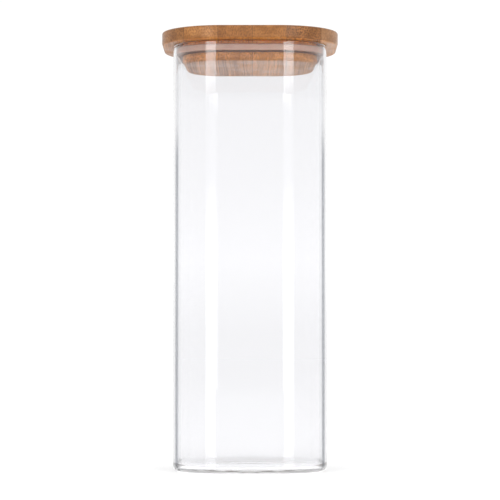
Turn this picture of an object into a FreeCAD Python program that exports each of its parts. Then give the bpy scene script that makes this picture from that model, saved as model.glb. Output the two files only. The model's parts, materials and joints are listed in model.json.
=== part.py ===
"""Tall square glass storage jar with a bamboo plug lid and a silicone seal ring.

The jar stands on z = 0 with its axis on +Z, and the front looks along -Y. The lid is glued up
from bamboo strips that run front to back, along Y. Lengths are millimetres.
"""
import FreeCAD, Part
import os
import Sketcher

OVERSIZE = 20.0  # how far a cutting slab stands out past the wood it cuts
TOUCH = 1e-3     # two heights closer than this are the same height

# name, value, what it is
DIMENSIONS = (
    ("jar_width", 100.0, "outer width and depth of the glass"),
    ("jar_corner", 32.0, "outer corner radius of the glass, seen from above"),
    ("jar_height", 276.6, "from the table to the rim"),
    ("jar_wall", 1.7, "thickness of the glass walls"),
    ("jar_floor", 2.8, "thickness of the glass floor at its edge"),
    ("heel_round", 4.2, "outer rounding between walls and base"),
    ("floor_round", 3.4, "inner rounding between walls and floor"),
    ("rim_round", 0.8, "fire-polished rounding of the rim, inside and out"),
    ("dome_radius", 20.0, "radius of the shallow dome pushed up in the base"),
    ("dome_rise", 1.6, "height of that dome, under the base and on the floor"),
    ("plate_overhang", 7.4, "how far the lid plate stands out past the glass"),
    ("plate_thickness", 8.6, "thickness of the lid plate"),
    ("plate_top_round", 1.2, "rounding of the plate's upper edge"),
    ("plate_under_round", 1.6, "rounding of the plate's lower edge"),
    ("plug_clearance", 4.3, "from the glass inside to the side of the wooden plug"),
    ("plug_depth", 12.5, "how far the plug reaches below the plate"),
    ("plug_round", 3.0, "rounding of the plug's lower edge"),
    ("groove_drop", 2.0, "from the plate down to the seal groove"),
    ("groove_height", 5.2, "height of the seal groove"),
    ("groove_depth", 2.2, "depth of the seal groove"),
    ("seal_slack", 0.1, "play of the ring up and down in its groove"),
    ("seal_band", 1.2, "thickness of the ring's band, outwards from the groove's bottom"),
    ("seal_lip", 4.4, "height of the ring's broad lip, down from its top"),
    ("seal_lip_round", 0.9, "rounding of the lip's outer edges"),
    ("seal_clearance", 0.3, "from the lip to the glass"),
    ("strip_pitch", 22.0, "width of a full bamboo strip"),
    ("strip_shift", 1.6, "x of the glue line nearest the middle of the lid"),
)

PLATE_STRIPS = 6
PLUG_STRIPS = 4

os.makedirs("parts", exist_ok=True)
doc = FreeCAD.newDocument("storage_jar")

# ---------------------------------------------------------------- driving dimensions

sheet = doc.addObject("Spreadsheet::Sheet", "Dims")
for row, (alias, value, meaning) in enumerate(DIMENSIONS, start=1):
    sheet.set(f"A{row}", meaning)
    sheet.set(f"B{row}", str(value))
    sheet.setAlias(f"B{row}", alias)
doc.recompute()

# sizes that follow from the driving dimensions, as expressions on the sheet
INNER_WIDTH = "(Dims.jar_width - 2 * Dims.jar_wall)"
INNER_CORNER = "(Dims.jar_corner - Dims.jar_wall)"
PLATE_WIDTH = "(Dims.jar_width + 2 * Dims.plate_overhang)"
PLATE_CORNER = "(Dims.jar_corner + Dims.plate_overhang)"
PLUG_WIDTH = f"({INNER_WIDTH} - 2 * Dims.plug_clearance)"
PLUG_CORNER = f"({INNER_CORNER} - Dims.plug_clearance)"
GROOVE_WIDTH = f"({PLUG_WIDTH} - 2 * Dims.groove_depth)"
GROOVE_CORNER = f"({PLUG_CORNER} - Dims.groove_depth)"
LIP_WIDTH = f"({INNER_WIDTH} - 2 * Dims.seal_clearance)"
LIP_CORNER = f"({INNER_CORNER} - Dims.seal_clearance)"
PLUG_BOTTOM = "(Dims.jar_height - Dims.plug_depth)"
GROOVE_TOP = "(Dims.jar_height - Dims.groove_drop)"
GROOVE_BOTTOM = f"({GROOVE_TOP} - Dims.groove_height)"
SEAL_TOP = f"({GROOVE_TOP} - Dims.seal_slack / 2)"
SEAL_BOTTOM = f"({GROOVE_BOTTOM} + Dims.seal_slack / 2)"
LIP_BOTTOM = f"({SEAL_TOP} - Dims.seal_lip)"


# ---------------------------------------------------------------- helpers

def origin_plane(body, role):
    """One of a body's own origin planes."""
    return next(feature for feature in body.Origin.OriginFeatures if feature.Role == role)


def new_sketch(body, name, role, height=None):
    """An empty sketch on an origin plane, raised to an expression's height."""
    sketch = body.newObject("Sketcher::SketchObject", name)
    sketch.AttachmentSupport = [(origin_plane(body, role), "")]
    sketch.MapMode = "FlatFace"
    if height:
        sketch.setExpression("AttachmentOffset.Base.z", height)
    return sketch


def add_rounded_square(sketch, name, width, corner):
    """A closed square with round corners, centred on the sketch's origin."""
    half = 10.0
    reach = 6.0
    turn = 1.5707963
    lines = [
        ((half, -reach), (half, reach)),
        ((reach, half), (-reach, half)),
        ((-half, reach), (-half, -reach)),
        ((-reach, -half), (reach, -half)),
    ]
    centres = [(reach, reach), (-reach, reach), (-reach, -reach), (reach, -reach)]
    sides = []
    corners = []
    for number, (start, end) in enumerate(lines):
        line = Part.LineSegment(FreeCAD.Vector(*start, 0), FreeCAD.Vector(*end, 0))
        sides.append(sketch.addGeometry(line))
        circle = Part.Circle(FreeCAD.Vector(*centres[number], 0), FreeCAD.Vector(0, 0, 1), half - reach)
        arc = Part.ArcOfCircle(circle, number * turn, (number + 1) * turn)
        corners.append(sketch.addGeometry(arc))
    for number in range(4):
        following = sides[(number + 1) % 4]
        sketch.addConstraint(Sketcher.Constraint("Tangent", sides[number], 2, corners[number], 1))
        sketch.addConstraint(Sketcher.Constraint("Tangent", corners[number], 2, following, 1))
        direction = "Vertical" if number % 2 == 0 else "Horizontal"
        sketch.addConstraint(Sketcher.Constraint(direction, sides[number]))
    for other in corners[1:]:
        sketch.addConstraint(Sketcher.Constraint("Equal", corners[0], other))
    right, top, left, bottom = sides
    sketch.addConstraint(Sketcher.Constraint("Symmetric", top, 1, bottom, 1, -1, 1))
    sized = (
        ("width", Sketcher.Constraint("DistanceX", left, 1, right, 1, 2 * half), width),
        ("depth", Sketcher.Constraint("DistanceY", bottom, 1, top, 1, 2 * half), width),
        ("corner", Sketcher.Constraint("Radius", corners[0], half - reach), corner),
    )
    for label, constraint, expression in sized:
        index = sketch.addConstraint(constraint)
        sketch.renameConstraint(index, f"{name}_{label}")
        sketch.setExpression(f"Constraints.{name}_{label}", expression)


def add_pad(body, name, sketch, length):
    """Pad a sketch upwards."""
    pad = body.newObject("PartDesign::Pad", name)
    pad.Profile = sketch
    pad.setExpression("Length", length)
    sketch.Visibility = False
    doc.recompute()
    return pad


def add_pocket(body, name, sketch, length):
    """Cut downwards from a sketch, and make sure that it removed something."""
    before = body.Tip.Shape.Volume
    pocket = body.newObject("PartDesign::Pocket", name)
    pocket.Profile = sketch
    pocket.setExpression("Length", length)
    doc.recompute()
    if pocket.Shape.Volume >= before:
        raise RuntimeError(f"{name} cuts nothing")
    return pocket


def level_edges(shape, height, width=None):
    """Names of the edges flat at a height, or only those of the outline that is so wide."""
    names = []
    for number, edge in enumerate(shape.Edges, start=1):
        ends = [vertex.Point for vertex in edge.Vertexes]
        reach = max(max(abs(point.x), abs(point.y)) for point in ends)
        is_level = all(abs(point.z - height) < TOUCH for point in ends)
        if is_level and (width is None or abs(2 * reach - width) < TOUCH):
            names.append(f"Edge{number}")
    return names


def add_fillet(body, name, height, radius, width=None):
    """Round the edges that lie flat at a height, all of them or one outline's."""
    base = body.Tip
    edges = level_edges(base.Shape, height, width)
    if not edges:
        raise RuntimeError(f"{name} finds no edge at {height}")
    fillet = body.newObject("PartDesign::Fillet", name)
    fillet.Base = (base, edges)
    fillet.setExpression("Radius", radius)
    doc.recompute()
    return fillet


def add_turned_cap(body, kind, name, base, radius, rise, root):
    """Revolve a shallow spherical cap about Z; its rim is at a height, with a straight root below."""
    sphere = (radius ** 2 + rise ** 2) / (2 * rise)
    half_way = radius / 2
    sag = sphere - (sphere ** 2 - half_way ** 2) ** 0.5
    low = FreeCAD.Vector(0, base - root, 0)
    corner = FreeCAD.Vector(radius, base - root, 0)
    rim = FreeCAD.Vector(radius, base, 0)
    flank = FreeCAD.Vector(half_way, base + rise - sag, 0)
    crown = FreeCAD.Vector(0, base + rise, 0)
    sketch = new_sketch(body, f"{name}_sketch", "XZ_Plane")
    sketch.addGeometry(Part.LineSegment(low, corner))
    sketch.addGeometry(Part.LineSegment(corner, rim))
    sketch.addGeometry(Part.Arc(rim, flank, crown))
    sketch.addGeometry(Part.LineSegment(crown, low))
    feature = body.newObject(kind, name)
    feature.Profile = sketch
    feature.ReferenceAxis = (sketch, ["V_Axis"])
    feature.Angle = 360.0
    doc.recompute()
    return feature


def slab(name, low, high):
    """A cutting slab across the lid, between two values of x given as expressions."""
    box = doc.addObject("Part::Box", name)
    reach = f"({PLATE_WIDTH} + 2 * {OVERSIZE})"
    box.setExpression("Length", f"{high} - {low}")
    box.setExpression("Width", reach)
    box.setExpression("Height", f"Dims.plug_depth + Dims.plate_thickness + 2 * {OVERSIZE}")
    box.setExpression("Placement.Base.x", low)
    box.setExpression("Placement.Base.y", f"-{reach} / 2")
    box.setExpression("Placement.Base.z", f"{PLUG_BOTTOM} - {OVERSIZE}")
    return box


def cut_into_strips(blank, name, count, half_width):
    """Saw a blank into the bamboo strips that it is glued up from, along the glue lines."""
    end = f"({half_width} + {OVERSIZE})"
    lines = [f"(Dims.strip_shift + {number - count // 2} * Dims.strip_pitch)" for number in range(1, count)]
    limits = [f"(-{end})"] + lines + [end]
    strips = []
    for number in range(count):
        label = f"{name}_{number + 1}"
        strip = doc.addObject("Part::Common", label)
        strip.Base = blank
        strip.Tool = slab(f"{label}_slab", limits[number], limits[number + 1])
        strips.append(strip)
    return strips


# ---------------------------------------------------------------- glass jar

jar = doc.addObject("PartDesign::Body", "glass_jar")
outline = new_sketch(jar, "jar_outline", "XY_Plane")
add_rounded_square(outline, "outer", "Dims.jar_width", "Dims.jar_corner")
add_pad(jar, "jar_block", outline, "Dims.jar_height")
add_fillet(jar, "heel", 0.0, "Dims.heel_round")
cavity = new_sketch(jar, "cavity_outline", "XY_Plane", "Dims.jar_height")
add_rounded_square(cavity, "inner", INNER_WIDTH, INNER_CORNER)
add_pocket(jar, "cavity", cavity, "Dims.jar_height - Dims.jar_floor")
add_fillet(jar, "floor_edge", sheet.jar_floor, "Dims.floor_round")
add_fillet(jar, "rim", sheet.jar_height, "Dims.rim_round")
solid_base = jar.Tip.Shape.Volume
add_turned_cap(jar, "PartDesign::Revolution", "floor_dome", sheet.jar_floor, sheet.dome_radius,
               sheet.dome_rise, sheet.jar_floor / 2)
domed_base = jar.Tip.Shape.Volume
add_turned_cap(jar, "PartDesign::Groove", "push_up", 0.0, sheet.dome_radius, sheet.dome_rise, OVERSIZE)
if not jar.Tip.Shape.Volume < domed_base > solid_base:
    raise RuntimeError("the dome in the jar's base is missing")

# ---------------------------------------------------------------- bamboo lid

plate = doc.addObject("PartDesign::Body", "plate_blank")
outline = new_sketch(plate, "plate_outline", "XY_Plane", "Dims.jar_height")
add_rounded_square(outline, "plate", PLATE_WIDTH, PLATE_CORNER)
add_pad(plate, "plate_board", outline, "Dims.plate_thickness")
add_fillet(plate, "upper_edge", sheet.jar_height + sheet.plate_thickness, "Dims.plate_top_round")
add_fillet(plate, "lower_edge", sheet.jar_height, "Dims.plate_under_round")

plug = doc.addObject("PartDesign::Body", "plug_blank")
outline = new_sketch(plug, "plug_outline", "XY_Plane", PLUG_BOTTOM)
add_rounded_square(outline, "plug", PLUG_WIDTH, PLUG_CORNER)
add_pad(plug, "plug_board", outline, "Dims.plug_depth")
add_fillet(plug, "plug_edge", sheet.jar_height - sheet.plug_depth, "Dims.plug_round")
groove = new_sketch(plug, "groove_outline", "XY_Plane", GROOVE_TOP)
add_rounded_square(groove, "cutter", PLATE_WIDTH, PLATE_CORNER)
add_rounded_square(groove, "groove", GROOVE_WIDTH, GROOVE_CORNER)
add_pocket(plug, "seal_groove", groove, "Dims.groove_height")

strips = cut_into_strips(plate, "lid_plate_strip", PLATE_STRIPS, f"{PLATE_WIDTH} / 2")
strips += cut_into_strips(plug, "lid_plug_strip", PLUG_STRIPS, f"{PLUG_WIDTH} / 2")
doc.recompute()

# ---------------------------------------------------------------- silicone seal

seal = doc.addObject("PartDesign::Body", "seal_ring")
band = new_sketch(seal, "band_outline", "XY_Plane", SEAL_BOTTOM)
add_rounded_square(band, "outside", f"({GROOVE_WIDTH} + 2 * Dims.seal_band)",
                   f"({GROOVE_CORNER} + Dims.seal_band)")
add_rounded_square(band, "inside", GROOVE_WIDTH, GROOVE_CORNER)
add_pad(seal, "band", band, "Dims.groove_height - Dims.seal_slack")
lip = new_sketch(seal, "lip_outline", "XY_Plane", LIP_BOTTOM)
add_rounded_square(lip, "tip", LIP_WIDTH, LIP_CORNER)
add_rounded_square(lip, "bore", GROOVE_WIDTH, GROOVE_CORNER)
add_pad(seal, "lip", lip, "Dims.seal_lip")
lip_bottom = lip.AttachmentOffset.Base.z
tip_width = lip.getDatum("tip_width").Value
add_fillet(seal, "lip_under", lip_bottom, "Dims.seal_lip_round", tip_width)
add_fillet(seal, "lip_over", lip_bottom + sheet.seal_lip, "Dims.seal_lip_round", tip_width)

# ---------------------------------------------------------------- checks and files

for item in doc.Objects:
    if "Invalid" in item.State or "Error" in item.State:
        raise RuntimeError(f"{item.Label} failed: {item.State}")

nodes = [jar, seal] + strips
for node in nodes:
    if node.Shape.isNull() or not node.Shape.isValid():
        raise RuntimeError(f"{node.Label} has no valid shape")
    if len(node.Shape.Solids) != 1:
        raise RuntimeError(f"{node.Label} is {len(node.Shape.Solids)} solids")

for node in nodes:
    node.Shape.exportStep(f"parts/{node.Label}.step")
    box = node.Shape.BoundBox
    print(f"{node.Label}: {node.Shape.Volume / 1000:.1f} cm3, "
          f"x {box.XMin:.1f} to {box.XMax:.1f}, y {box.YMin:.1f} to {box.YMax:.1f}, "
          f"z {box.ZMin:.1f} to {box.ZMax:.1f}")
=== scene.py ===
import json
import math

import bpy
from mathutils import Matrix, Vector


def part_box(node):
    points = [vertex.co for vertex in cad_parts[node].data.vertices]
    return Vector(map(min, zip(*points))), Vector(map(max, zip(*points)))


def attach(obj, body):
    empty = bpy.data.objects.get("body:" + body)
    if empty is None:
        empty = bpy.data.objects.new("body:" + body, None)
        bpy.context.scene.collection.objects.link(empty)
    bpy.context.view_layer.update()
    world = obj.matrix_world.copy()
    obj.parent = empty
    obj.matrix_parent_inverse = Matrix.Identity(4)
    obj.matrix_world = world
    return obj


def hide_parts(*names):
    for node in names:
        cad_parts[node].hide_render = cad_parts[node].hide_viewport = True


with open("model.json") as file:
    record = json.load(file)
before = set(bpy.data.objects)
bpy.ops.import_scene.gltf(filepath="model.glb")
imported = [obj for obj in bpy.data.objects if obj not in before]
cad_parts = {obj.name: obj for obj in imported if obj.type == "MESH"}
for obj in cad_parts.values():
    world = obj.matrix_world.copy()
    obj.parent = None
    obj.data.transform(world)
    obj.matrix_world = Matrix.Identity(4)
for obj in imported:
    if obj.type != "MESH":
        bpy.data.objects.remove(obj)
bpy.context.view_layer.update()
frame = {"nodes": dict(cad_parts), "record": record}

MM = 0.001

# ---------------------------------------------------------------- sizes, from the frame

jar_low, jar_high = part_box("glass_jar")
_, seal_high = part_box("seal_ring")
JAR_HALF = (jar_high.x - jar_low.x) / 2
JAR_TOP = jar_high.z
WALL = 1.7 * MM
CORNER = 32 * MM
FLOOR = 2.8 * MM
HEEL_ROUND = 4.2 * MM
FLOOR_ROUND = 3.4 * MM
RIM_ROUND = 0.8 * MM
DOME_RADIUS = 20 * MM
DOME_RISE = 1.6 * MM

SEAL_TOP = seal_high.z
SEAL_LIP = 4.4 * MM
PLATE_LOW = JAR_TOP    # the plate rests on the rim
STRIP_PITCH = 22 * MM
STRIP_SHIFT = 1.6 * MM
PLATE_STRIPS = 6
GLUE_LINES = [STRIP_SHIFT + number * STRIP_PITCH for number in range(-2, 3)]


# ---------------------------------------------------------------- camera, lights and surroundings

CAMERA_PLACE = (0.0015, -1.405, 0.089)
CAMERA_TARGET = (0.0, 0, 0.1441)
CAMERA_LENS = 153.4

SOFTBOX_YAW = {"softbox_left": -27, "softbox_right": 26}
SOFTBOX_ROLL = 1
SOFTBOX_DISTANCE = 1.9
SOFTBOX_WIDTH = 0.80
SOFTBOX_HEIGHT = 2.4
SOFTBOX_CENTRE = 0.35
SOFTBOX_POWER = 16
SOFTBOX_GRADE = (      # place along the softbox's height, and brightness there
    (0.0, 0.8),
    (0.44, 0.8),
    (0.49, 0.12),
    (0.54, 0.12),
    (0.56, 1.5),
    (1.0, 1.5),
)
STUDIO_LEVEL = 1.2
LIGHT_BOUNCES = 40     # light that enters the thick base is passed along inside it many times
TABLE_RADIUS = 6.0
TABLE_GREY = 0.62
TABLE_GLOW = 0.40
PAINTED_LIGHT_UNDER_JAR = 0.95  # painted light: the table glows brighter under the jar, standing in for the light that the thick glass gathers on to it
TABLE_GAP = 0.3 * MM   # the table lies just under the glass, so that the two never share a plane
BACKDROP_SPAN = 0.2    # the sine of the elevation at each end of the backdrop's ramp
BACKDROP = (           # place on the ramp, from below to above the horizon, and brightness there
    (0.0, 0.88),
    (0.5, 0.885),
    (0.585, 0.955),
    (0.68, 0.91),
    (0.773, 0.885),
    (0.775, 0.860),
    (1.0, 0.86),
)

def aim(item, target):
    """Turn a camera or a light towards a point."""
    item.rotation_euler = (Vector(target) - item.location).to_track_quat("-Z", "Y").to_euler()


def add_camera():
    """A long lens, level with the top of the jar's lower third."""
    data = bpy.data.cameras.new("camera")
    camera = bpy.data.objects.new("camera", data)
    bpy.context.scene.collection.objects.link(camera)
    camera.location = CAMERA_PLACE
    data.lens = CAMERA_LENS
    aim(camera, CAMERA_TARGET)
    bpy.context.scene.camera = camera


def add_ramp(nodes, grade):
    """A colour ramp from rows of a place and the colour there."""
    ramp = nodes.new("ShaderNodeValToRGB")
    steps = ramp.color_ramp.elements
    steps[0].position, steps[1].position = grade[0][0], grade[-1][0]
    for place_on_ramp, _ in grade[1:-1]:
        steps.new(place_on_ramp)
    for step, (_, colour) in zip(steps, grade):
        step.color = (*colour, 1)
    return ramp


def greys(grade):
    """The same rows with each brightness turned into a grey."""
    return [(place_on_ramp, (level, level, level)) for place_on_ramp, level in grade]


def add_softbox(name, yaw):
    """A tall softbox in front of the jar, with a dim bar between two brighter parts."""
    data = bpy.data.lights.new(name, "AREA")
    data.shape = "RECTANGLE"
    data.size = SOFTBOX_WIDTH
    data.size_y = SOFTBOX_HEIGHT
    data.energy = SOFTBOX_POWER
    data.use_nodes = True
    nodes, links = data.node_tree.nodes, data.node_tree.links
    emission = nodes["Emission"]
    shape = nodes.new("ShaderNodeNewGeometry")
    axes = nodes.new("ShaderNodeSeparateXYZ")
    ramp = add_ramp(nodes, greys(SOFTBOX_GRADE))
    links.new(shape.outputs["Parametric"], axes.inputs["Vector"])
    links.new(axes.outputs["Y"], ramp.inputs["Fac"])
    links.new(ramp.outputs["Color"], emission.inputs["Color"])
    lamp = bpy.data.objects.new(name, data)
    bpy.context.scene.collection.objects.link(lamp)
    angle = math.radians(yaw)
    lamp.location = (SOFTBOX_DISTANCE * math.sin(angle), -SOFTBOX_DISTANCE * math.cos(angle),
                     SOFTBOX_CENTRE)
    aim(lamp, (0, 0, SOFTBOX_CENTRE))
    lamp.rotation_euler.rotate_axis("Z", math.radians(SOFTBOX_ROLL))


def add_surroundings():
    """A white studio, brightest a little above the table and dimmer past the backdrop's top edge."""
    world = bpy.data.worlds.new("studio")
    bpy.context.scene.world = world
    world.use_nodes = True
    nodes, links = world.node_tree.nodes, world.node_tree.links
    nodes.clear()
    out = nodes.new("ShaderNodeOutputWorld")
    light = nodes.new("ShaderNodeBackground")
    place = nodes.new("ShaderNodeTexCoord")
    axes = nodes.new("ShaderNodeSeparateXYZ")
    rise = nodes.new("ShaderNodeMapRange")
    rise.inputs["From Min"].default_value = -BACKDROP_SPAN
    rise.inputs["From Max"].default_value = BACKDROP_SPAN
    ramp = add_ramp(nodes, greys(BACKDROP))
    links.new(place.outputs["Generated"], axes.inputs["Vector"])
    links.new(axes.outputs["Z"], rise.inputs["Value"])
    links.new(rise.outputs["Result"], ramp.inputs["Fac"])
    links.new(ramp.outputs["Color"], light.inputs["Color"])
    light.inputs["Strength"].default_value = STUDIO_LEVEL
    links.new(light.outputs[0], out.inputs["Surface"])


def add_floor():
    """A plain white table top, lit a little from within like a light table, with painted light: a
    stronger glow under the jar.
    """
    bpy.ops.object.select_all(action="DESELECT")
    bpy.ops.mesh.primitive_circle_add(vertices=96, radius=TABLE_RADIUS, fill_type="NGON",
                                      location=(0, 0, -TABLE_GAP))
    floor = bpy.context.active_object
    floor.name = "table"
    material = bpy.data.materials.new("table_white")
    material.use_nodes = True
    shader = material.node_tree.nodes["Principled BSDF"]
    shader.inputs["Base Color"].default_value = (TABLE_GREY, TABLE_GREY, TABLE_GREY, 1)
    shader.inputs["Roughness"].default_value = 0.9
    shader.inputs["Specular IOR Level"].default_value = 0.1
    shader.inputs["Emission Strength"].default_value = 1.0
    wire = Wiring(material.node_tree)
    axes = wire.nodes.new("ShaderNodeSeparateXYZ")
    wire.feed(axes.inputs[0], wire.place())
    squared = [wire.math("POWER", wire.math("ABSOLUTE", axes.outputs[axis]), 4.0) for axis in "XY"]
    outward = wire.math("POWER", wire.math("ADD", *squared), 0.25)
    # painted light: the glow rises from the table's level to a brighter one under the jar's footprint
    level = wire.fade(outward, JAR_HALF - HEEL_ROUND, JAR_HALF - 0.3 * HEEL_ROUND,
                      PAINTED_LIGHT_UNDER_JAR, TABLE_GLOW)
    glow = wire.nodes.new("ShaderNodeCombineColor")
    for socket in glow.inputs:
        wire.feed(socket, level)
    wire.feed(shader.inputs["Emission Color"], glow.outputs[0])
    floor.data.materials.append(material)
    floor.visible_glossy = False


# ---------------------------------------------------------------- modelling helpers

TINY = 1e-6            # places nearer than this count as the same
LARGE_FACE = 1e-4      # square metres; of the level faces only the middles of floor and base are larger


def edit(piece, kind):
    """Make one piece active, with none of its vertices, edges or faces selected."""
    bpy.ops.object.select_all(action="DESELECT")
    bpy.context.view_layer.objects.active = piece
    piece.select_set(True)
    bpy.ops.object.mode_set(mode="EDIT")
    bpy.ops.mesh.select_mode(type=kind)
    bpy.ops.mesh.select_all(action="DESELECT")
    bpy.ops.object.mode_set(mode="OBJECT")


def select_edges(piece, wanted):
    """Select the edges whose two ends satisfy a test, and stay in edit mode."""
    edit(piece, "EDGE")
    points = piece.data.vertices
    for edge in piece.data.edges:
        edge.select = wanted(points[edge.vertices[0]].co, points[edge.vertices[1]].co)
    bpy.ops.object.mode_set(mode="EDIT")


def select_faces(piece, wanted):
    """Select the faces that satisfy a test, and stay in edit mode."""
    edit(piece, "FACE")
    for face in piece.data.polygons:
        face.select = wanted(face)
    bpy.ops.object.mode_set(mode="EDIT")


def is_level(a, b, height):
    """Whether two points both lie at a height."""
    return abs(a.z - height) < TINY and abs(b.z - height) < TINY


def round_ring(piece, height, radius, segments):
    """Round the edges that lie flat at a height."""
    select_edges(piece, lambda a, b: is_level(a, b, height))
    bpy.ops.mesh.bevel(offset=radius, segments=segments, affect="EDGES", clamp_overlap=False)
    bpy.ops.object.mode_set(mode="OBJECT")


def rounded_block(name, half, corner, low, high, segments):
    """An upright block with its four tall edges rounded."""
    bpy.ops.object.select_all(action="DESELECT")
    bpy.ops.mesh.primitive_cube_add(size=1, location=(0, 0, (low + high) / 2),
                                    scale=(2 * half, 2 * half, high - low))
    piece = bpy.context.active_object
    piece.name = name
    bpy.ops.object.transform_apply(location=True, rotation=True, scale=True)
    select_edges(piece, lambda a, b: abs(a.z - b.z) > TINY)
    bpy.ops.mesh.bevel(offset=corner, segments=segments, affect="EDGES", clamp_overlap=False)
    bpy.ops.object.mode_set(mode="OBJECT")
    return piece


def ring_face(piece, height, rings):
    """Fill a flat face with rings that shrink towards its middle."""
    select_faces(piece, lambda face: abs(face.center.z - height) < TINY
                 and abs(face.normal.z) > 0.9 and face.area > LARGE_FACE)
    for number in range(rings):
        scale = (1 - (number + 1) / (rings + 1)) / (1 - number / (rings + 1))
        bpy.ops.mesh.inset(thickness=0)
        bpy.ops.transform.resize(value=(scale, scale, 1), center_override=(0, 0, height))
    bpy.ops.object.mode_set(mode="OBJECT")


def shade_flat_areas(piece):
    """Smooth shading in which the large flat faces stay optically flat up to their edges."""
    bpy.ops.object.select_all(action="DESELECT")
    bpy.context.view_layer.objects.active = piece
    piece.select_set(True)
    bpy.ops.object.shade_smooth()
    weighted = piece.modifiers.new("weighted", "WEIGHTED_NORMAL")
    weighted.mode = "FACE_AREA"
    weighted.weight = 100
    weighted.keep_sharp = False
    bpy.ops.object.modifier_apply(modifier=weighted.name)


# ---------------------------------------------------------------- glass

CORNER_STEPS = 28
ROUND_STEPS = 10
RIM_STEPS = 6
BASE_RINGS = 12


def make_jar():
    """The blown jar: a block with round corners, hollowed from the top, rounded and domed."""
    jar = rounded_block("jar_glass", JAR_HALF, CORNER, 0, JAR_TOP, CORNER_STEPS)
    select_faces(jar, lambda face: face.normal.z > 0.9)
    bpy.ops.mesh.inset(thickness=WALL)
    bpy.ops.mesh.extrude_region_move(TRANSFORM_OT_translate={"value": (0, 0, FLOOR - JAR_TOP)})
    bpy.ops.object.mode_set(mode="OBJECT")
    round_ring(jar, 0, HEEL_ROUND, ROUND_STEPS)
    round_ring(jar, FLOOR, FLOOR_ROUND, ROUND_STEPS)
    round_ring(jar, JAR_TOP, RIM_ROUND, RIM_STEPS)
    ring_face(jar, 0, BASE_RINGS)
    ring_face(jar, FLOOR, BASE_RINGS)
    select_faces(jar, lambda face: face.center.z < FLOOR + MM
                 and face.center.to_2d().length < MM and abs(face.normal.z) > 0.9)
    bpy.ops.transform.translate(value=(0, 0, DOME_RISE), use_proportional_edit=True,
                                proportional_edit_falloff="SMOOTH", proportional_size=DOME_RADIUS)
    bpy.ops.object.mode_set(mode="OBJECT")
    shade_flat_areas(jar)
    return jar


# ---------------------------------------------------------------- node groups for the finishes

def new_group(name, inputs, outputs):
    """An empty shader node group; sockets are (name, kind, default)."""
    group = bpy.data.node_groups.new(name, "ShaderNodeTree")
    for label, kind, value in inputs:
        socket = group.interface.new_socket(label, in_out="INPUT", socket_type=f"NodeSocket{kind}")
        if value is not None:
            socket.default_value = value
    for label, kind in outputs:
        group.interface.new_socket(label, in_out="OUTPUT", socket_type=f"NodeSocket{kind}")
    source = group.nodes.new("NodeGroupInput")
    result = group.nodes.new("NodeGroupOutput")
    return group, source, result


class Wiring:
    """Short ways to add and join nodes in one tree."""

    def __init__(self, tree):
        self.nodes = tree.nodes
        self.links = tree.links

    def feed(self, socket, value):
        """Join a socket to another node's output, or set its plain value."""
        if isinstance(value, bpy.types.NodeSocket):
            self.links.new(value, socket)
        else:
            socket.default_value = value

    def math(self, operation, first, second=0.0, third=0.0, clamp=False):
        node = self.nodes.new("ShaderNodeMath")
        node.operation = operation
        node.use_clamp = clamp
        for socket, value in zip(node.inputs, (first, second, third)):
            self.feed(socket, value)
        return node.outputs[0]

    def vector(self, operation, first, second):
        node = self.nodes.new("ShaderNodeVectorMath")
        node.operation = operation
        self.feed(node.inputs[0], first)
        self.feed(node.inputs[1], second)
        return node.outputs[0]

    def noise(self, place, scale=1.0, detail=2.0, roughness=0.5):
        node = self.nodes.new("ShaderNodeTexNoise")
        self.feed(node.inputs["Vector"], place)
        node.inputs["Scale"].default_value = scale
        node.inputs["Detail"].default_value = detail
        node.inputs["Roughness"].default_value = roughness
        return node

    def fade(self, value, start, end, low=0.0, high=1.0):
        """A smooth step from low to high as a value goes from start to end."""
        node = self.nodes.new("ShaderNodeMapRange")
        node.interpolation_type = "SMOOTHSTEP"
        self.feed(node.inputs["Value"], value)
        self.feed(node.inputs["From Min"], start)
        self.feed(node.inputs["From Max"], end)
        self.feed(node.inputs["To Min"], low)
        self.feed(node.inputs["To Max"], high)
        return node.outputs["Result"]

    def mix(self, factor, first, second, blend="MIX"):
        node = self.nodes.new("ShaderNodeMix")
        node.data_type = "RGBA"
        node.blend_type = blend
        colours = [socket for socket in node.inputs if socket.type == "RGBA"]
        self.feed(node.inputs[0], factor)
        self.feed(colours[0], first)
        self.feed(colours[1], second)
        return next(socket for socket in node.outputs if socket.type == "RGBA")

    def bump(self, height, strength, distance):
        node = self.nodes.new("ShaderNodeBump")
        node.inputs["Strength"].default_value = strength
        node.inputs["Distance"].default_value = distance
        self.feed(node.inputs["Height"], height)
        return node.outputs["Normal"]

    def group(self, tree, **values):
        """Place a node group; underscores in the names of its inputs stand for spaces."""
        node = self.nodes.new("ShaderNodeGroup")
        node.node_tree = tree
        for label, value in values.items():
            self.feed(node.inputs[label.replace("_", " ")], value)
        return node

    def place(self):
        return self.nodes.new("ShaderNodeTexCoord").outputs["Object"]


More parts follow.
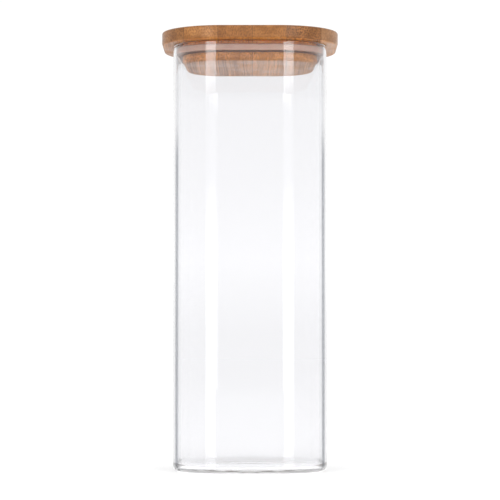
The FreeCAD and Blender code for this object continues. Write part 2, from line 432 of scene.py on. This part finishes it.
def bamboo_grain_group():
    """Bamboo as a solid: fibre bundles that run along Y, dots on end grain and long lines elsewhere."""
    inputs = [("Place", "Vector", None), ("Seed", "Float", 0.0), ("Gap", "Float", 0.001),
              ("Bundle Strength", "Float", 0.5)]
    outputs = [("Bundles", "Float"), ("Streaks", "Float"), ("Fibres", "Float"), ("Height", "Float")]
    group, source, result = new_group("bamboo_grain", inputs, outputs)
    wire = Wiring(group)
    offset = wire.nodes.new("ShaderNodeCombineXYZ")
    for socket, stride in zip(offset.inputs, (0.731, 1.913, 0.377)):
        wire.feed(socket, wire.math("MULTIPLY", source.outputs["Seed"], stride))
    place = wire.vector("ADD", source.outputs["Place"], offset.outputs[0])
    sway = wire.noise(wire.vector("MULTIPLY", place, (25, 12, 25)), detail=1.0).outputs["Color"]
    sway = wire.vector("MULTIPLY", wire.vector("SUBTRACT", sway, (0.5, 0.5, 0.5)), (0.0022, 0, 0.0022))
    place = wire.vector("ADD", place, sway)

    cells = wire.nodes.new("ShaderNodeTexVoronoi")
    cells.voronoi_dimensions = "2D"
    cells.inputs["Scale"].default_value = 1.0
    cells.inputs["Randomness"].default_value = 0.75
    across = wire.nodes.new("ShaderNodeSeparateXYZ")
    wire.feed(across.inputs[0], place)
    section = wire.nodes.new("ShaderNodeCombineXYZ")
    wire.feed(section.inputs["X"], wire.math("DIVIDE", across.outputs["X"], source.outputs["Gap"]))
    tall_gap = wire.math("MULTIPLY", source.outputs["Gap"], 2.0)
    wire.feed(section.inputs["Y"], wire.math("DIVIDE", across.outputs["Z"], tall_gap))
    wire.feed(cells.inputs["Vector"], section.outputs[0])
    dots = wire.fade(cells.outputs["Distance"], 0.46, 0.20)
    crowd = wire.noise(wire.vector("MULTIPLY", place, (210, 9, 260)), detail=2.0).outputs["Fac"]
    crowd = wire.fade(crowd, 0.36, 0.60, 0.65, 1.0)
    bundles = wire.math("MULTIPLY", dots, crowd)
    bundles = wire.math("MULTIPLY", bundles, source.outputs["Bundle Strength"], clamp=True)

    broad = wire.noise(wire.vector("MULTIPLY", place, (150, 5, 190)), detail=3.0, roughness=0.6)
    streaks = wire.fade(broad.outputs["Fac"], 0.30, 0.70)
    fine = wire.noise(wire.vector("MULTIPLY", place, (1500, 16, 1100)), detail=3.0, roughness=0.65)
    fibres = wire.fade(fine.outputs["Fac"], 0.25, 0.75)
    height = wire.math("MULTIPLY_ADD", bundles, -0.7, wire.math("MULTIPLY", fibres, 0.4))
    wire.feed(result.inputs["Bundles"], bundles)
    wire.feed(result.inputs["Streaks"], streaks)
    wire.feed(result.inputs["Fibres"], fibres)
    wire.feed(result.inputs["Height"], height)
    return group


def bamboo_knuckle_group():
    """The band where a bamboo cane had a node: a pale swelling with a dark wavering line in it."""
    inputs = [("Place", "Vector", None), ("Knuckle", "Float", 0.0)]
    outputs = [("Band", "Float"), ("Line", "Float")]
    group, source, result = new_group("bamboo_knuckle", inputs, outputs)
    wire = Wiring(group)
    waver = wire.noise(wire.vector("MULTIPLY", source.outputs["Place"], (260, 60, 260)), detail=2.0)
    shift = wire.math("MULTIPLY_ADD", waver.outputs["Fac"], 0.0030, -0.0015)
    axes = wire.nodes.new("ShaderNodeSeparateXYZ")
    wire.feed(axes.inputs[0], source.outputs["Place"])
    along = wire.math("SUBTRACT", wire.math("ADD", axes.outputs["Y"], shift), source.outputs["Knuckle"])
    away = wire.math("ABSOLUTE", along)
    wire.feed(result.inputs["Band"], wire.fade(away, 0.0055, 0.0010))
    wire.feed(result.inputs["Line"], wire.fade(away, 0.0008, 0.0002))
    return group


def glue_line_group():
    """Thin dark lines along the two sides of a strip, where it is glued to its neighbours."""
    inputs = [("Place", "Vector", None), ("Left", "Float", -1.0), ("Right", "Float", 1.0)]
    group, source, result = new_group("glue_line", inputs, [("Line", "Float")])
    wire = Wiring(group)
    axes = wire.nodes.new("ShaderNodeSeparateXYZ")
    wire.feed(axes.inputs[0], source.outputs["Place"])
    left = wire.math("SUBTRACT", axes.outputs["X"], source.outputs["Left"])
    right = wire.math("SUBTRACT", source.outputs["Right"], axes.outputs["X"])
    nearest = wire.math("MINIMUM", wire.math("ABSOLUTE", left), wire.math("ABSOLUTE", right))
    wire.feed(result.inputs["Line"], wire.fade(nearest, 0.00030, 0.00008))
    return group


def surface_wear_group():
    """Handling marks: soft blotches of different gloss with a few fine specks."""
    inputs = [("Place", "Vector", None), ("Low", "Float", 0.3), ("High", "Float", 0.5)]
    outputs = [("Roughness", "Float"), ("Specks", "Float")]
    group, source, result = new_group("surface_wear", inputs, outputs)
    wire = Wiring(group)
    blotch = wire.noise(source.outputs["Place"], scale=70.0, detail=3.0, roughness=0.6).outputs["Fac"]
    wire.feed(result.inputs["Roughness"],
              wire.fade(blotch, 0.3, 0.7, source.outputs["Low"], source.outputs["High"]))
    speck = wire.noise(source.outputs["Place"], scale=900.0, detail=1.0).outputs["Fac"]
    wire.feed(result.inputs["Specks"], wire.fade(speck, 0.70, 0.78))
    return group


# ---------------------------------------------------------------- glass finish

# how far the surface is turned from the line of sight (1 is edge on), and the glass's colour there; the
# first row is the glass's own faint tint, the rest is painted shade, the dark and grey edge lines of the
# round corners
GLASS_TINT_AND_PAINTED_EDGE = (
    (0.44, (0.922, 0.922, 0.934)),
    (0.53, (0.74, 0.75, 0.77)),
    (0.60, (0.10, 0.11, 0.13)),
    (0.68, (0.20, 0.21, 0.23)),
    (0.77, (0.70, 0.71, 0.73)),
    (1.0, (0.85, 0.86, 0.88)),
)
SHOULDER_LOW = 0.72    # as parts of the jar's height; the corners' painted grey weakens between these two
SHOULDER_HIGH = 0.84
SHOULDER_PAINTED_GREY = 0.4    # how much of the painted grey is left at the shoulder
HEEL_PAINTED_GREY = 0.15       # and at the heel


def glass_material():
    """Clear glass with painted shade: its round corners turn grey, for camera rays only, where the line
    of sight runs along the wall.
    """
    material = bpy.data.materials.new("clear_glass")
    material.use_nodes = True
    wire = Wiring(material.node_tree)
    shader = material.node_tree.nodes["Principled BSDF"]
    shader.inputs["IOR"].default_value = 1.47
    shader.inputs["Transmission Weight"].default_value = 1.0
    facing = wire.nodes.new("ShaderNodeLayerWeight")
    facing.inputs["Blend"].default_value = 0.5
    ramp = add_ramp(wire.nodes, GLASS_TINT_AND_PAINTED_EDGE)
    wire.feed(ramp.inputs["Fac"], facing.outputs["Facing"])
    axes = wire.nodes.new("ShaderNodeSeparateXYZ")
    wire.feed(axes.inputs[0], wire.place())
    wall = wire.fade(axes.outputs["Z"], JAR_TOP - 1.5 * RIM_ROUND, JAR_TOP - 1.1 * RIM_ROUND, 1.0, 0.0)
    path = wire.nodes.new("ShaderNodeLightPath")
    heel = wire.fade(axes.outputs["Z"], 0.3 * HEEL_ROUND, 1.1 * HEEL_ROUND, HEEL_PAINTED_GREY, 1.0)
    shoulder = wire.fade(axes.outputs["Z"], SHOULDER_LOW * JAR_TOP, SHOULDER_HIGH * JAR_TOP,
                         1.0, SHOULDER_PAINTED_GREY)
    # painted shade: the grey edge colour is used only on the corners, only for camera rays, and less at
    # the rim, heel and shoulder
    painted_edge_share = wire.math("MULTIPLY", wire.math("MULTIPLY", wall, heel), path.outputs["Is Camera Ray"])
    painted_edge_share = wire.math("MULTIPLY", painted_edge_share, shoulder)
    beside = [wire.math("ABSOLUTE", axes.outputs[axis]) for axis in "XY"]
    bend = wire.fade(wire.math("MINIMUM", *beside), JAR_HALF - CORNER, JAR_HALF - 0.85 * CORNER)
    painted_edge_share = wire.math("MULTIPLY", painted_edge_share, bend)
    clear = (*GLASS_TINT_AND_PAINTED_EDGE[0][1], 1)
    wire.feed(shader.inputs["Base Color"], wire.mix(painted_edge_share, clear, ramp.outputs["Color"]))
    wear = wire.group(SURFACE_WEAR, Place=wire.place(), Low=0.0, High=0.012)
    wire.feed(shader.inputs["Roughness"], wear.outputs["Roughness"])
    return material


# ---------------------------------------------------------------- bamboo

# light tissue, dark tissue, fibre bundles, how strongly the bundles show, and their spacing in metres
BAMBOO_TONES = {
    "bamboo_golden": ((0.360, 0.157, 0.047), (0.232, 0.088, 0.019), (0.110, 0.036, 0.008), 0.55, 0.0009),
    "bamboo_rose": ((0.312, 0.126, 0.034), (0.208, 0.077, 0.016), (0.098, 0.031, 0.008), 0.60, 0.0011),
    "bamboo_honey": ((0.325, 0.135, 0.036), (0.225, 0.084, 0.017), (0.100, 0.033, 0.008), 0.55, 0.001),
    "bamboo_dark": ((0.290, 0.117, 0.034), (0.185, 0.070, 0.016), (0.050, 0.017, 0.006), 0.85, 0.00085),
    "bamboo_pale": ((0.370, 0.185, 0.080), (0.260, 0.118, 0.042), (0.150, 0.060, 0.020), 0.40, 0.0009),
}
# how far front or back of the middle each strip's knuckle lies, and how light the strip is, with painted
# light and shade in it
STRIPS = {
    # painted shade: the plate's first strip is darker, for the shade at the lid's corner
    "lid_plate_strip_1": (0.012, 0.80),
    "lid_plate_strip_2": (-0.031, 1.0),
    "lid_plate_strip_3": (0.026, 0.96),
    "lid_plate_strip_4": (-0.009, 1.0),
    "lid_plate_strip_5": (0.043, 1.0),
    "lid_plate_strip_6": (-0.024, 0.92),
    # painted light: the plug's strips are made over twice as light, for the light that the glass keeps
    # from the plug
    "lid_plug_strip_1": (-0.016, 2.4),
    "lid_plug_strip_2": (0.024, 2.3),
    "lid_plug_strip_3": (-0.030, 2.5),
    "lid_plug_strip_4": (0.006, 2.1),
}
OUTSIDE = 1.0    # a glue line put so far away never shows
GLUE_COLOUR = (0.07, 0.026, 0.009, 1)
PAINTED_LIGHT_TINT = (2.0, 1.85, 1.45, 1)  # painted light: the wood from the plate's underside to the seal is made lighter and warmer


def strip_sides(name):
    """Where a strip's two glue lines lie; the outermost strips have only one."""
    family, number = name.rsplit("_", 1)
    number = int(number)
    count = sum(node.startswith(family) for node in frame["nodes"])
    first = (PLATE_STRIPS - count) // 2
    left = GLUE_LINES[first + number - 2] if number > 1 else -OUTSIDE
    right = GLUE_LINES[first + number - 1] if number < count else OUTSIDE
    return left, right


def bamboo_material(name, slot, seed):
    """Satin-lacquered bamboo for one strip of the lid."""
    *tissue, strength, gap = BAMBOO_TONES[slot]
    knuckle_at, tone_and_painted_light = STRIPS[name]
    light, dark, bundle = (tuple(tone_and_painted_light * part for part in colour) for colour in tissue)
    left, right = strip_sides(name)
    material = bpy.data.materials.new(f"{name}_{slot}")
    material.use_nodes = True
    wire = Wiring(material.node_tree)
    shader = material.node_tree.nodes["Principled BSDF"]
    place = wire.place()
    grain = wire.group(BAMBOO_GRAIN, Place=place, Seed=seed, Gap=gap, Bundle_Strength=strength)
    knuckle = wire.group(BAMBOO_KNUCKLE, Place=place, Knuckle=knuckle_at)
    glue = wire.group(GLUE_LINE, Place=place, Left=left, Right=right)
    wear = wire.group(SURFACE_WEAR, Place=place, Low=0.30, High=0.46)
    colour = wire.mix(grain.outputs["Streaks"], (*dark, 1), (*light, 1))
    fibres = wire.math("MULTIPLY_ADD", grain.outputs["Fibres"], 0.36, 0.82)
    shade = wire.nodes.new("ShaderNodeCombineColor")
    for socket in shade.inputs:
        wire.feed(socket, fibres)
    colour = wire.mix(1.0, colour, shade.outputs[0], "MULTIPLY")
    colour = wire.mix(grain.outputs["Bundles"], colour, (*bundle, 1))
    pale = wire.math("MULTIPLY", knuckle.outputs["Band"], 0.28)
    colour = wire.mix(pale, colour, (*light, 1))
    colour = wire.mix(wire.math("MULTIPLY", knuckle.outputs["Line"], 0.55), colour, (*bundle, 1))
    colour = wire.mix(wire.math("MULTIPLY", glue.outputs["Line"], 0.6), colour, GLUE_COLOUR)
    axes = wire.nodes.new("ShaderNodeSeparateXYZ")
    wire.feed(axes.inputs[0], place)
    # painted light: lighten the wood between the plate's underside and the top of the seal
    under = wire.fade(axes.outputs["Z"], PLATE_LOW + 0.8 * MM, PLATE_LOW)
    above = wire.fade(axes.outputs["Z"], SEAL_TOP - 0.3 * MM, SEAL_TOP + 0.1 * MM)
    under = wire.math("MULTIPLY", under, above)
    colour = wire.mix(under, colour, wire.mix(1.0, colour, PAINTED_LIGHT_TINT, "MULTIPLY"))
    wire.feed(shader.inputs["Base Color"], colour)
    rough = wire.math("MULTIPLY_ADD", grain.outputs["Bundles"], 0.10, wear.outputs["Roughness"])
    wire.feed(shader.inputs["Roughness"], rough)
    height = wire.math("SUBTRACT", grain.outputs["Height"], glue.outputs["Line"])
    wire.feed(shader.inputs["Normal"], wire.bump(height, 0.5, 0.00005))
    shader.inputs["Specular IOR Level"].default_value = 0.28
    shader.inputs["Coat Weight"].default_value = 0.1
    shader.inputs["Coat Roughness"].default_value = 0.18
    return material


# ---------------------------------------------------------------- silicone

SILICONE_DEEP = (0.65, 0.405, 0.305, 1)
SILICONE_PALE = (0.74, 0.485, 0.38, 1)
SILICONE_DUST = (0.75, 0.62, 0.55, 1)
SILICONE_PAINTED_SHADE = (0.30, 0.145, 0.09, 1)  # painted shade: the ring's band, in the groove below the lip, darkened as if shadowed by the lip


def silicone_material():
    """Soft translucent silicone with a satin skin and a little dust, and painted shade on its band below
    the lip.
    """
    material = bpy.data.materials.new("silicone")
    material.use_nodes = True
    wire = Wiring(material.node_tree)
    shader = material.node_tree.nodes["Principled BSDF"]
    place = wire.place()
    wear = wire.group(SURFACE_WEAR, Place=place, Low=0.34, High=0.52)
    cloud = wire.noise(place, scale=90.0, detail=2.0).outputs["Fac"]
    colour = wire.mix(wire.fade(cloud, 0.3, 0.7), SILICONE_DEEP, SILICONE_PALE)
    colour = wire.mix(wire.math("MULTIPLY", wear.outputs["Specks"], 0.5), colour, SILICONE_DUST)
    axes = wire.nodes.new("ShaderNodeSeparateXYZ")
    wire.feed(axes.inputs[0], place)
    # painted shade: darken the band below the lip
    band = wire.fade(axes.outputs["Z"], SEAL_TOP - SEAL_LIP + 0.5 * MM, SEAL_TOP - SEAL_LIP)
    colour = wire.mix(band, colour, SILICONE_PAINTED_SHADE)
    wire.feed(shader.inputs["Base Color"], colour)
    wire.feed(shader.inputs["Roughness"], wear.outputs["Roughness"])
    fine = wire.noise(place, scale=1400.0, detail=2.0).outputs["Fac"]
    wire.feed(shader.inputs["Normal"], wire.bump(fine, 0.25, 0.00003))
    shader.inputs["Subsurface Weight"].default_value = 0.35
    shader.inputs["Subsurface Scale"].default_value = 0.002
    shader.inputs["Subsurface Radius"].default_value = (1.0, 0.6, 0.45)
    return material


# ---------------------------------------------------------------- assembly

add_camera()
for softbox, yaw in SOFTBOX_YAW.items():
    add_softbox(softbox, yaw)
add_surroundings()
add_floor()

BAMBOO_GRAIN = bamboo_grain_group()
BAMBOO_KNUCKLE = bamboo_knuckle_group()
GLUE_LINE = glue_line_group()
SURFACE_WEAR = surface_wear_group()

jar = make_jar()
jar.data.materials.append(glass_material())
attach(jar, "jar")
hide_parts("glass_jar")

slots = {part["node"]: part["material_slot"] for part in frame["record"]["subparts"]}
for seed, name in enumerate(STRIPS):
    strip = frame["nodes"][name]
    strip.material_slots[0].material = bamboo_material(name, slots[name], seed)
frame["nodes"]["seal_ring"].material_slots[0].material = silicone_material()

scene = bpy.context.scene
scene.view_settings.view_transform = "Standard"
scene.cycles.max_bounces = LIGHT_BOUNCES
scene.cycles.transmission_bounces = LIGHT_BOUNCES
scene.cycles.glossy_bounces = LIGHT_BOUNCES
